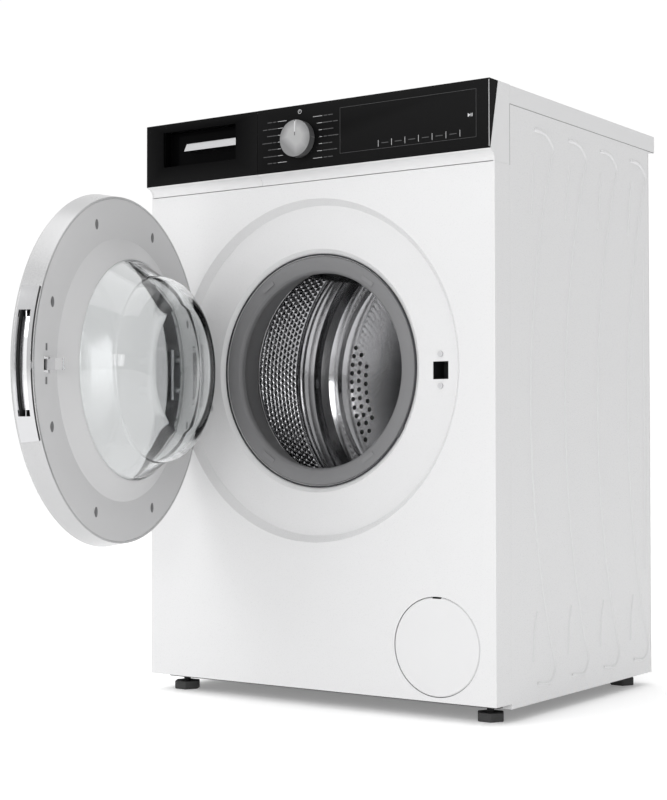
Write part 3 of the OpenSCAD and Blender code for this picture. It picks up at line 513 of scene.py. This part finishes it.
def ribbon(points, width, height, x, outward):
    """A soft pressed rib along points of (y, z) on a side panel at x, standing proud outwards."""
    profile = ((-0.5, -0.2), (-0.34, 0.25), (-0.14, 0.9), (0.14, 0.9), (0.34, 0.25), (0.5, -0.2))
    verts = []
    for index, (y, z) in enumerate(points):
        before = Vector(points[max(0, index - 1)])
        after = Vector(points[min(len(points) - 1, index + 1)])
        along = (after - before).normalized()
        across = Vector((-along.y, along.x))
        for offset, rise in profile:
            side = across * offset * width
            verts.append((x + outward * rise * height, y + side.x, z + side.y))
    count = len(profile)
    faces = []
    for index in range(len(points) - 1):
        for part in range(count - 1):
            a = index * count + part
            faces.append((a, a + 1, a + count + 1, a + count))
    faces.append(tuple(range(count)))
    faces.append(tuple(range(len(verts) - 1, len(verts) - count - 1, -1)))
    for index in range(len(points) - 1):
        a = index * count
        faces.append((a + count - 1, a, a + count, a + 2 * count - 1))
    mesh = bpy.data.meshes.new("rib")
    mesh.from_pydata(verts, [], faces)
    obj = bpy.data.objects.new("rib", mesh)
    bpy.context.collection.objects.link(obj)
    fix_normals(obj)
    return obj


def rounded_path(corners, steps=8):
    """A smooth line through corner points."""
    points = []
    for index in range(len(corners) - 1):
        p0 = Vector(corners[max(0, index - 1)])
        p1 = Vector(corners[index])
        p2 = Vector(corners[index + 1])
        p3 = Vector(corners[min(len(corners) - 1, index + 2)])
        for step in range(steps):
            t = step / steps
            even = 2 * p1 + (p2 - p0) * t
            bend = (2 * p0 - 5 * p1 + 4 * p2 - p3) * t * t
            twist = (3 * p1 - p0 - 3 * p2 + p3) * t ** 3
            point = 0.5 * (even + bend + twist)
            points.append((point.x, point.y))
    points.append(tuple(corners[-1]))
    return points


def bow(offset):
    """The bowed rib's centre line of (y, z) at an offset towards the rear."""
    radius = 0.97
    middle = (SIDE_LOW.z + SIDE_HIGH.z) / 2
    reach = 0.36
    waist = FRONT + 0.097 + offset
    arc = []
    for step in range(-18, 19):
        z = reach * step / 18
        arc.append((waist + radius - math.sqrt(radius ** 2 - z * z), middle + z))
    top = [(waist + 0.046, middle + 0.378), (waist + 0.013, middle + 0.379)]
    low = [(waist + 0.016, middle - 0.377), (waist + 0.053, middle - 0.380)]
    return rounded_path(low + arc + top, 3)


# Pieces


class PieceOperator:
    """What every operator of this file shares."""

    bl_options = {"REGISTER", "UNDO"}

    def execute(self, context):
        self.build()
        return {"FINISHED"}


class WASHER_OT_finishes(PieceOperator, bpy.types.Operator):
    """Makes the finishes and gives every carried-over piece its own"""

    bl_idname = "washer.finishes"
    bl_label = "Finishes"

    def build(self):
        make_materials()
        for entry in frame["record"]["subparts"]:
            obj = frame["nodes"][entry["node"]]
            obj.data.materials.clear()
            obj.data.materials.append(MATERIALS[entry["material_slot"]])
            clear()
            pick(obj)
            bpy.ops.object.shade_smooth_by_angle(angle=math.radians(30))
        clear()


class WASHER_OT_cabinet(PieceOperator, bpy.types.Operator):
    """Front panel, worktop, white fascia frame and base"""

    bl_idname = "washer.cabinet"
    bl_label = "Cabinet"

    def build(self):
        refined("front_panel", "front_panel_enamel", "cabinet", "white_enamel", 0.0012)
        refined("worktop", "worktop_board", "cabinet", "white_worktop", 0.0016)
        refined("fascia_frame", "fascia_surround", "cabinet", "white_plastic", 0.0008)
        refined("base_tray", "base_pan", "cabinet", "dark_plastic", 0.001)
        refined("rear_panel", "rear_cover", "cabinet", "zinc_steel", 0.0006)
        top_low, top_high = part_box("worktop")
        lines = []
        half = 0.0004
        seam = top_low.z
        back = top_high.y - 0.004
        for outer, sign in ((SIDE_HIGH.x - SKIN, 1), (-SIDE_HIGH.x + SKIN, -1)):
            near, far = sorted((outer - sign * 0.001, outer + sign * 0.0001))
            lines.append(block((near, SIDE_LOW.y, seam - half), (far, back, seam + half)))
            lines.append(block((near, SIDE_LOW.y - half, PANEL_HIGH.z), (far, SIDE_LOW.y + half, seam)))
        finished(joined(lines), "side_seams", "cabinet", "seam_grey")


class WASHER_OT_side_panels(PieceOperator, bpy.types.Operator):
    """Side panels with their pressed ribs"""

    bl_idname = "washer.side_panels"
    bl_label = "Side panels"

    def build(self):
        for side, outward in (("left", -1), ("right", 1)):
            node = side + "_side_panel"
            low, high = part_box(node)
            x = (low.x + SKIN) if outward < 0 else (high.x - SKIN)
            panel = self.panel(low, high, x, outward)
            parts = [panel]
            height = sizes().rib_height
            for index in range(4):
                offset = 0.1025 * index
                parts.append(ribbon(bow(offset), 0.007, height * 0.5, x, outward))
                for top in (0.305, -0.305):
                    waist = FRONT + 0.101 + offset
                    middle = (low.z + high.z) / 2 + top
                    lean = 0.008 * (1 if top > 0 else -1)
                    slot = [(waist - lean * 0.1, middle - 0.042), (waist + 0.004, middle),
                            (waist + 0.012, middle + 0.042 * (1 if top > 0 else 0.6))]
                    parts.append(ribbon(rounded_path(slot, 6), 0.005, height * 0.4, x, outward))
            rear = [(FRONT + 0.465, low.z + 0.159), (FRONT + 0.465, low.z + 0.653)]
            parts.append(ribbon(rounded_path(rear, 8), 0.009, height * 0.5, x, outward))
            whole = joined(parts)
            finished(whole, node + "_enamel", "cabinet", "white_enamel", (node,), 40)

    def panel(self, low, high, x, outward):
        """The bent sheet with rounded upright edges and turned-in flanges."""
        lip = 0.016
        near, far = sorted((x, x - outward * SHEET))
        sheet = block((near, low.y, low.z), (far, high.y, high.z))
        near, far = sorted((x, x - outward * lip))
        front = block((near, low.y, low.z), (far, low.y + SHEET, high.z))
        rear = block((near, high.y - SHEET, low.z), (far, high.y, high.z))
        whole = cut(cut(sheet, front, "UNION"), rear, "UNION")
        return bevelled(whole, 0.0009, 2, 40)


class WASHER_OT_door(PieceOperator, bpy.types.Operator):
    """Door ring, inner frame, glass bowl and outer window"""

    bl_idname = "washer.door"
    bl_label = "Door"

    def build(self):
        self.bowl()
        refined("door_rim", "door_ring", "door", "silver_satin", 0.0016, 3)
        refined("door_inner_frame", "door_inner_ring", "door", "light_grey_plastic", 0.0010, 3)
        refined("door_window", "door_outer_window", "door", "smoked_glass", 0.0014, 3)
        plate = refined("handle_plate", "handle_surround", "door", "plate_metal", 0.0008, 3)
        repaint(plate, "dark_plastic", self.in_pocket)
        self.wells()
        refined("hinge_arm", "hinge_leaf", "door", "cast_alloy", 0.0008, 2)

    def in_pocket(self, point):
        """Whether a point of the handle plate is inside its finger pocket."""
        shut = on_closed_door(point)
        radius = math.hypot(shut.x - DOOR.x, shut.z - DOOR.z)
        return radius < DOOR_RADIUS - 0.0035

    def wells(self):
        """Dark grey flat discs with screw heads round the inner frame and two small slots by the latch. The dark
        grey is painted shade for the hollows of the wells and slots.
        """
        face = FRONT - 0.002
        parts = []
        # Each well is a thin flat disc on the frame's face. Its dark grey is painted shade standing for the recess
        # of a screw well.
        for index in range(8):
            turn = math.radians(22.5 + 45 * index)
            ring = DOOR_RADIUS - 0.0345
            place = Vector((ring * math.cos(turn), face, DOOR.z + ring * math.sin(turn)))
            well = rod((0, 0, 0), 0.0036, 0.0004, "Y", 24)
            well.scale = (1, 1, 1.9)
            well.location = place
            parts.append(apply_place(well))
            head = rod(place + Vector((0, 0, -0.002)), 0.0022, 0.0008, "Y", 16, 0.0002)
            parts.append(head)
        slot_x = 0.203
        for side in (-1, 1):
            slot_z = DOOR.z + side * 0.021
            low = (slot_x - 0.0018, face, slot_z - 0.0045)
            high = (slot_x + 0.0018, face + 0.0004, slot_z + 0.0045)
            parts.append(block(low, high))
        finished(swing_open(joined(parts)), "screw_wells", "door", "painted_shade_grey")

    def bowl(self):
        """The thick glass bowl with its rolled shoulder."""
        wide = sizes().bowl_radius
        tip = sizes().bowl_tip_radius
        depth = sizes().bowl_depth
        wall = 0.005
        start = FRONT + 0.012
        end_y = start + depth
        flange_y = start - 0.006
        round_r = 0.040
        round_steps = 10
        outside = [(wide, flange_y), (wide, start), (wide - 0.0015, start + 0.004)]
        for step in range(round_steps + 1):
            turn = step / round_steps * math.pi / 2
            outside.append((tip - 0.012 + round_r * math.cos(turn), end_y - round_r * (1 - math.sin(turn))))
        outside.append((tip * 0.5, end_y))
        outside.append((POLE / 2, end_y))
        inside = [(max(POLE / 2, radius - wall), y - wall) for radius, y in reversed(outside[2:-1])]
        profile = outside + [(POLE / 2, end_y - wall)] + inside + [(wide - wall, flange_y)]
        whole = lathe(profile, DOOR, 160)
        finished(swing_open(whole), "glass_bowl", "door", "clear_glass", ("door_glass",), 50)


class WASHER_OT_port(PieceOperator, bpy.types.Operator):
    """Gasket, its band and the door lock"""

    bl_idname = "washer.port"
    bl_label = "Port and gasket"

    def build(self):
        refined("door_gasket", "door_bellows", "cabinet", "grey_rubber", 0.0012, 3)
        refined("gasket_band", "bellows_band", "cabinet", "motor_iron", 0.0004, 2)
        self.gasket_marks()
        refined("door_lock", "lock_body", "cabinet", "dark_plastic", 0.0005, 2)

    def gasket_marks(self):
        """Four raised bars moulded on the gasket's front ring."""
        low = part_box("door_gasket")[0]
        ring = (sizes().port_radius + 0.137) / 2
        parts = []
        for turn in (35, 145, 215, 325):
            bar = block((-0.011, -0.0005, -0.003), (0.011, 0.0006, 0.003), 0.0004)
            place = Matrix.Translation((0, low.y, PORT.z)) @ Matrix.Rotation(math.radians(turn), 4, "Y")
            bar.matrix_world = place @ Matrix.Translation((0, 0, ring))
            parts.append(apply_place(bar))
        finished(joined(parts), "bellows_marks", "cabinet", "grey_rubber")


class WASHER_OT_drum(PieceOperator, bpy.types.Operator):
    """Perforated drum wall, its mouth ring, rear plate and lifters"""

    bl_idname = "washer.drum"
    bl_label = "Drum"

    def build(self):
        self.wall()
        refined("drum_front", "drum_mouth", "drum", "drum_steel", 0.0006, 2)
        refined("drum_rear", "drum_back", "drum", "drum_steel", 0.0004, 2)
        refined("drum_lifters", "lifters", "drum", "drum_steel", 0.003, 3)

    def tile(self, pitch):
        """One wall tile with a dimpled hole, flat in the XY plane."""
        clear()
        hole = pitch * 0.20
        bpy.ops.mesh.primitive_circle_add(vertices=8, radius=hole)
        obj = bpy.context.object
        edit(obj)
        bpy.ops.mesh.extrude_region_move(TRANSFORM_OT_translate={"value": (0, 0, -DIMPLE)})
        bpy.ops.transform.resize(value=(1.75, 1.75, 1))
        bpy.ops.mesh.extrude_region_move()
        factor = pitch / 2 / (hole * 1.75)
        bpy.ops.transform.resize(value=(factor, factor, 1))
        close_edit()
        for vertex in obj.data.vertices:
            corner = min(abs(vertex.co.x), abs(vertex.co.y))
            if math.hypot(vertex.co.x, vertex.co.y) > pitch * 0.45 and corner > pitch * 0.1:
                vertex.co.x *= math.sqrt(2)
                vertex.co.y *= math.sqrt(2)
        return obj

    def wall(self):
        """The wall rolled up from rows of tiles, every other row set over by half a pitch."""
        around = int(2 * math.pi * DRUM_RADIUS / sizes().hole_pitch)
        pitch = 2 * math.pi * DRUM_RADIUS / around
        start = DRUM_LOW.y + 0.012
        band = 0.034
        rows = 2 * int((DRUM_HIGH.y - band - start) / pitch / 2)
        obj = self.tile(pitch)
        modify(obj, "ARRAY", count=2, use_relative_offset=False, use_constant_offset=True,
               constant_offset_displace=(pitch / 2, pitch, 0), use_merge_vertices=True, merge_threshold=1e-6)
        modify(obj, "ARRAY", count=rows // 2, use_relative_offset=False, use_constant_offset=True,
               constant_offset_displace=(0, 2 * pitch, 0), use_merge_vertices=True, merge_threshold=1e-6)
        modify(obj, "ARRAY", count=around, use_relative_offset=False, use_constant_offset=True,
               constant_offset_displace=(pitch, 0, 0), use_merge_vertices=True, merge_threshold=1e-6)
        inner = DRUM_RADIUS - 0.0009
        for vertex in obj.data.vertices:
            angle = vertex.co.x / DRUM_RADIUS
            radius = inner - vertex.co.z - DIMPLE
            y = start + pitch / 2 + vertex.co.y
            vertex.co = (radius * math.sin(angle), y, DRUM_CENTRE.z + radius * math.cos(angle))
        fix_normals(obj)
        end = start + rows * pitch
        bands = [
            lathe([(inner - 0.0002, DRUM_LOW.y), (inner - 0.0002, start), (inner + 0.0008, start),
                   (inner + 0.0008, DRUM_LOW.y)], DRUM_CENTRE),
            lathe([(inner - 0.0002, end), (inner - 0.0022, end + 0.006), (inner - 0.0022, end + 0.014),
                   (inner - 0.0002, end + 0.018), (inner - 0.0022, end + 0.022), (inner - 0.0002,
                                                                                  DRUM_HIGH.y),
                   (inner + 0.0008, DRUM_HIGH.y), (inner + 0.0008, end)], DRUM_CENTRE),
        ]
        finished(joined([obj] + bands), "drum_wall", "drum", "drum_steel", ("drum_shell",), 45)


class WASHER_OT_controls(PieceOperator, bpy.types.Operator):
    """Black fascia, programme knob, ticks, display and touch marks"""

    bl_idname = "washer.controls"
    bl_label = "Controls"

    def build(self):
        refined("fascia_glass", "fascia_cover", "cabinet", "black_gloss", 0.0009, 3)
        refined("drawer_glass", "drawer_cover", "drawer", "black_gloss", 0.0009, 3)
        refined("drawer_grip", "drawer_grip_pocket", "drawer", "black_gloss", 0.0006, 2)
        self.grip_bar()
        refined("program_knob", "knob", "knob", "knob_metal", 0.0012, 3)
        self.marks()

    def grip_bar(self):
        """The slanted bright bar of the drawer's grip, leaning back towards its top."""
        low = Vector((GLASS_LOW.x - 0.1393, GLASS_LOW.y + 0.0012, 0.8058))
        high = Vector((GLASS_LOW.x - 0.0397, FRONT + 0.0062, 0.8183))
        bar = block(low, high)
        for vertex in bar.data.vertices:
            if vertex.co.z > 0.812 and vertex.co.y < FRONT:
                vertex.co.y += 0.0065
        bevelled(bar, 0.0009, 3)
        finished(bar, "drawer_grip_bar", "drawer", "plate_metal")

    def mark(self, x, z, wide, tall, turn=0.0):
        """One thin bar at x and z on the black fascia, used for printed marks and for the painted edge highlight.
        """
        face = GLASS_LOW.y
        obj = block((-wide / 2, -PRINT, -tall / 2), (wide / 2, 0, tall / 2))
        obj.matrix_world = Matrix.Translation((x, face, z)) @ Matrix.Rotation(turn, 4, "Y")
        return apply_place(obj)

    def arc(self, x, z, radius, line, gap=0.0):
        """A thin printed ring, open at the top where a gap is given."""
        face = GLASS_LOW.y
        near, far = radius - line / 2, radius + line / 2
        profile = [(near, face), (far, face), (far, face - PRINT), (near, face - PRINT)]
        ring = lathe(profile, Vector((x, 0, z)), 48)
        if gap:
            ring = cut(ring, block((x - gap / 2, face - 0.001, z),
                                   (x + gap / 2, face + 0.001, z + radius * 1.5)))
        return ring

    def marks(self):
        """Programme ticks with leaders, power symbol, display outline, touch separators, start symbol and a
        painted highlight down the right edge.
        """
        centre = (KNOB_LOW + KNOB_HIGH) / 2
        reach = (KNOB_HIGH.x - KNOB_LOW.x) / 2
        bright = []
        faint = []
        for side in (-1, 1):
            for step in range(7):
                rise = (step - 3) * 0.0098
                tip = math.sqrt(max(0.0, (reach + 0.0085) ** 2 - (rise * 0.86) ** 2))
                start = centre.x + side * tip
                end = centre.x + side * (reach + 0.0125)
                bright.append(self.mark((start + end) / 2, centre.z + rise, abs(end - start) + 0.0006,
                                        0.0005))
                for word in range(2 + step % 2):
                    wide = 0.006 + 0.002 * ((step + word) % 3)
                    place = end + side * (0.006 + 0.0085 * word)
                    faint.append(self.mark(place, centre.z + rise, wide, 0.0011))
        bright.append(self.arc(centre.x, centre.z + reach + 0.0135, 0.0028, 0.0006, 0.002))
        bright.append(self.mark(centre.x, centre.z + reach + 0.0152, 0.0006, 0.0034))
        low, high = Vector((0.0589, 0, 0.774)), Vector((0.277, 0, 0.8377))
        middle = (low + high) / 2
        line = 0.0004
        faint.append(self.mark(middle.x, low.z, high.x - low.x, line))
        faint.append(self.mark(middle.x, high.z, high.x - low.x, line))
        faint.append(self.mark(low.x, middle.z, line, high.z - low.z))
        faint.append(self.mark(high.x, middle.z, line, high.z - low.z))
        key_pitch = 0.0216
        key_z = 0.7815
        for index in range(7):
            bright.append(self.mark(0.1226 + key_pitch * index, key_z, 0.0005, 0.009))
        start_x, start_z = 0.268, 0.804
        for offset in (0.0012, 0.0030):
            bright.append(self.mark(start_x + offset, start_z, 0.0008, 0.0045))
        wedge_steps = 5
        for step in range(wedge_steps):
            tall = 0.0048 * (1 - step / wedge_steps)
            bright.append(self.mark(start_x - 0.0032 + 0.0007 * step, start_z, 0.0007, tall))
        for column in range(6):
            faint.append(self.mark(0.1335 + key_pitch * column, key_z, 0.011, 0.0010))
        # Painted highlight: a thin light bar down the fascia's right edge stands in for the light caught by the
        # rounded corner where the front meets the side. It is built like a printed mark.
        highlight_bar_tall = GLASS_HIGH.z - GLASS_LOW.z - 0.004
        bright.append(self.mark(GLASS_HIGH.x - 0.0010, (GLASS_HIGH.z + GLASS_LOW.z) / 2, 0.0008, highlight_bar_tall))
        finished(joined(bright), "fascia_marks_and_edge_highlight", "cabinet", "print_and_highlight_white")
        reach_z = (KNOB_HIGH.z - KNOB_LOW.z) / 2
        pointer = block((centre.x - 0.0007, KNOB_LOW.y - 0.0002, centre.z + reach_z * 0.35),
                        (centre.x + 0.0007, KNOB_LOW.y + 0.0012, centre.z + reach_z * 0.92))
        finished(pointer, "knob_pointer", "knob", "print_and_highlight_white")
        finished(joined(faint), "fascia_bars", "cabinet", "print_grey")


class WASHER_OT_handle(PieceOperator, bpy.types.Operator):
    """Pull lever and latch hook of the door"""

    bl_idname = "washer.handle"
    bl_label = "Door handle"

    def build(self):
        refined("door_handle", "handle_lever", "handle", "chrome", 0.0008, 3)
        refined("latch_hook", "latch", "latch", "chrome", 0.0006, 3)


class WASHER_OT_filter(PieceOperator, bpy.types.Operator):
    """Drain filter cover and its plug"""

    bl_idname = "washer.filter"
    bl_label = "Filter cover"

    def build(self):
        refined("filter_cover", "filter_door", "filter_flap", "white_plastic", 0.0009, 3)
        refined("filter_plug", "filter_insert", "filter_cap", "dark_plastic", 0.0008, 3)


class WASHER_OT_feet(PieceOperator, bpy.types.Operator):
    """Four levelling feet"""

    bl_idname = "washer.feet"
    bl_label = "Feet"

    def build(self):
        for end in ("front", "rear"):
            for side in ("left", "right"):
                node = end + "_" + side + "_foot"
                refined(node, node + "_rubber", node + "_body", "black_rubber", 0.0012, 3)


class WASHER_OT_studio(PieceOperator, bpy.types.Operator):
    """Pale floor, soft lights and camera"""

    bl_idname = "washer.studio"
    bl_label = "Studio"

    def sky(self, world):
        """A white studio that is dimmer on the right, so that faces and metal show their form."""
        nodes = world.node_tree.nodes
        links = world.node_tree.links
        coords = nodes.new("ShaderNodeTexCoord")
        split = nodes.new("ShaderNodeSeparateXYZ")
        fall = nodes.new("ShaderNodeMapRange")
        fall.inputs["From Min"].default_value = -0.3
        fall.inputs["From Max"].default_value = 0.9
        fall.inputs["To Min"].default_value = 1.02
        fall.inputs["To Max"].default_value = 0.50
        links.new(coords.outputs["Generated"], split.inputs["Vector"])
        links.new(split.outputs["X"], fall.inputs["Value"])
        links.new(fall.outputs["Result"], nodes["Background"].inputs["Strength"])
        nodes["Background"].inputs["Color"].default_value = (1, 1, 1, 1)

    def build(self):
        clear()
        bpy.ops.mesh.primitive_plane_add(size=30, location=(0, 0, -0.0002))
        floor = bpy.context.object
        floor.name = "studio_floor"
        floor.data.materials.append(surface("floor", (0.99, 0.99, 0.99), rough=0.8, grain=40.0,
                                            edge_lightening=0.0, vary=0.001))
        pale = floor.data.materials[0].node_tree.nodes["Principled BSDF"]
        pale.inputs["Emission Color"].default_value = (1, 1, 1, 1)
        pale.inputs["Emission Strength"].default_value = 0.22
        world = bpy.context.scene.world or bpy.data.worlds.new("studio")
        bpy.context.scene.world = world
        world.use_nodes = True
        self.sky(world)
        for name, place, size, power in (
            ("key", (-1.2, -3.2, 2.2), 1.6, 18),
            ("rake", (1.3, -3.6, 1.0), 0.8, 10),
            ("top", (0.2, -0.4, 3.4), 2.6, 20),
        ):
            clear()
            bpy.ops.object.light_add(type="AREA", location=place)
            light = bpy.context.object
            light.name = "studio_" + name
            light.data.size = size
            light.data.energy = power
            aim = Vector((0, 0, 0.45)) - Vector(place)
            light.rotation_euler = aim.to_track_quat("-Z", "Y").to_euler()
        clear()
        bpy.ops.object.camera_add(location=(1.3705, -2.1586, 0.3704),
                                  rotation=(math.radians(91.5), math.radians(0.07), math.radians(34.97)))
        camera = bpy.context.object
        camera.name = "studio_camera"
        camera.data.lens = 74.76
        bpy.context.scene.camera = camera
        bpy.context.scene.view_settings.view_transform = "Standard"


OPERATORS = (
    WASHER_OT_finishes,
    WASHER_OT_cabinet,
    WASHER_OT_side_panels,
    WASHER_OT_door,
    WASHER_OT_port,
    WASHER_OT_drum,
    WASHER_OT_controls,
    WASHER_OT_handle,
    WASHER_OT_filter,
    WASHER_OT_feet,
    WASHER_OT_studio,
)


class WASHER_PT_pieces(bpy.types.Panel):
    """Lists the sizes, colours and pieces"""

    bl_label = "Washing machine"
    bl_idname = "WASHER_PT_pieces"
    bl_space_type = "VIEW_3D"
    bl_region_type = "UI"
    bl_category = "Washer"

    def draw(self, context):
        for name in WasherSizes.__annotations__:
            self.layout.prop(context.scene.washer_sizes, name)
        for name in WasherColours.__annotations__:
            self.layout.prop(context.scene.washer_colours, name)
        for operator in OPERATORS:
            self.layout.operator(operator.bl_idname)


def register():
    """Registers the classes and the scene's settings."""
    for cls in (WasherSizes, WasherColours) + OPERATORS + (WASHER_PT_pieces,):
        bpy.utils.register_class(cls)
    bpy.types.Scene.washer_sizes = bpy.props.PointerProperty(type=WasherSizes)
    bpy.types.Scene.washer_colours = bpy.props.PointerProperty(type=WasherColours)


def unregister():
    """Takes the settings and classes away again."""
    del bpy.types.Scene.washer_colours
    del bpy.types.Scene.washer_sizes
    for cls in reversed((WasherSizes, WasherColours) + OPERATORS + (WASHER_PT_pieces,)):
        bpy.utils.unregister_class(cls)


def main():
    """Builds every piece in order."""
    register()
    bpy.ops.washer.finishes()
    bpy.ops.washer.cabinet()
    bpy.ops.washer.side_panels()
    bpy.ops.washer.door()
    bpy.ops.washer.port()
    bpy.ops.washer.drum()
    bpy.ops.washer.controls()
    bpy.ops.washer.handle()
    bpy.ops.washer.filter()
    bpy.ops.washer.feet()
    bpy.ops.washer.studio()


if __name__ == "__main__":
    main()
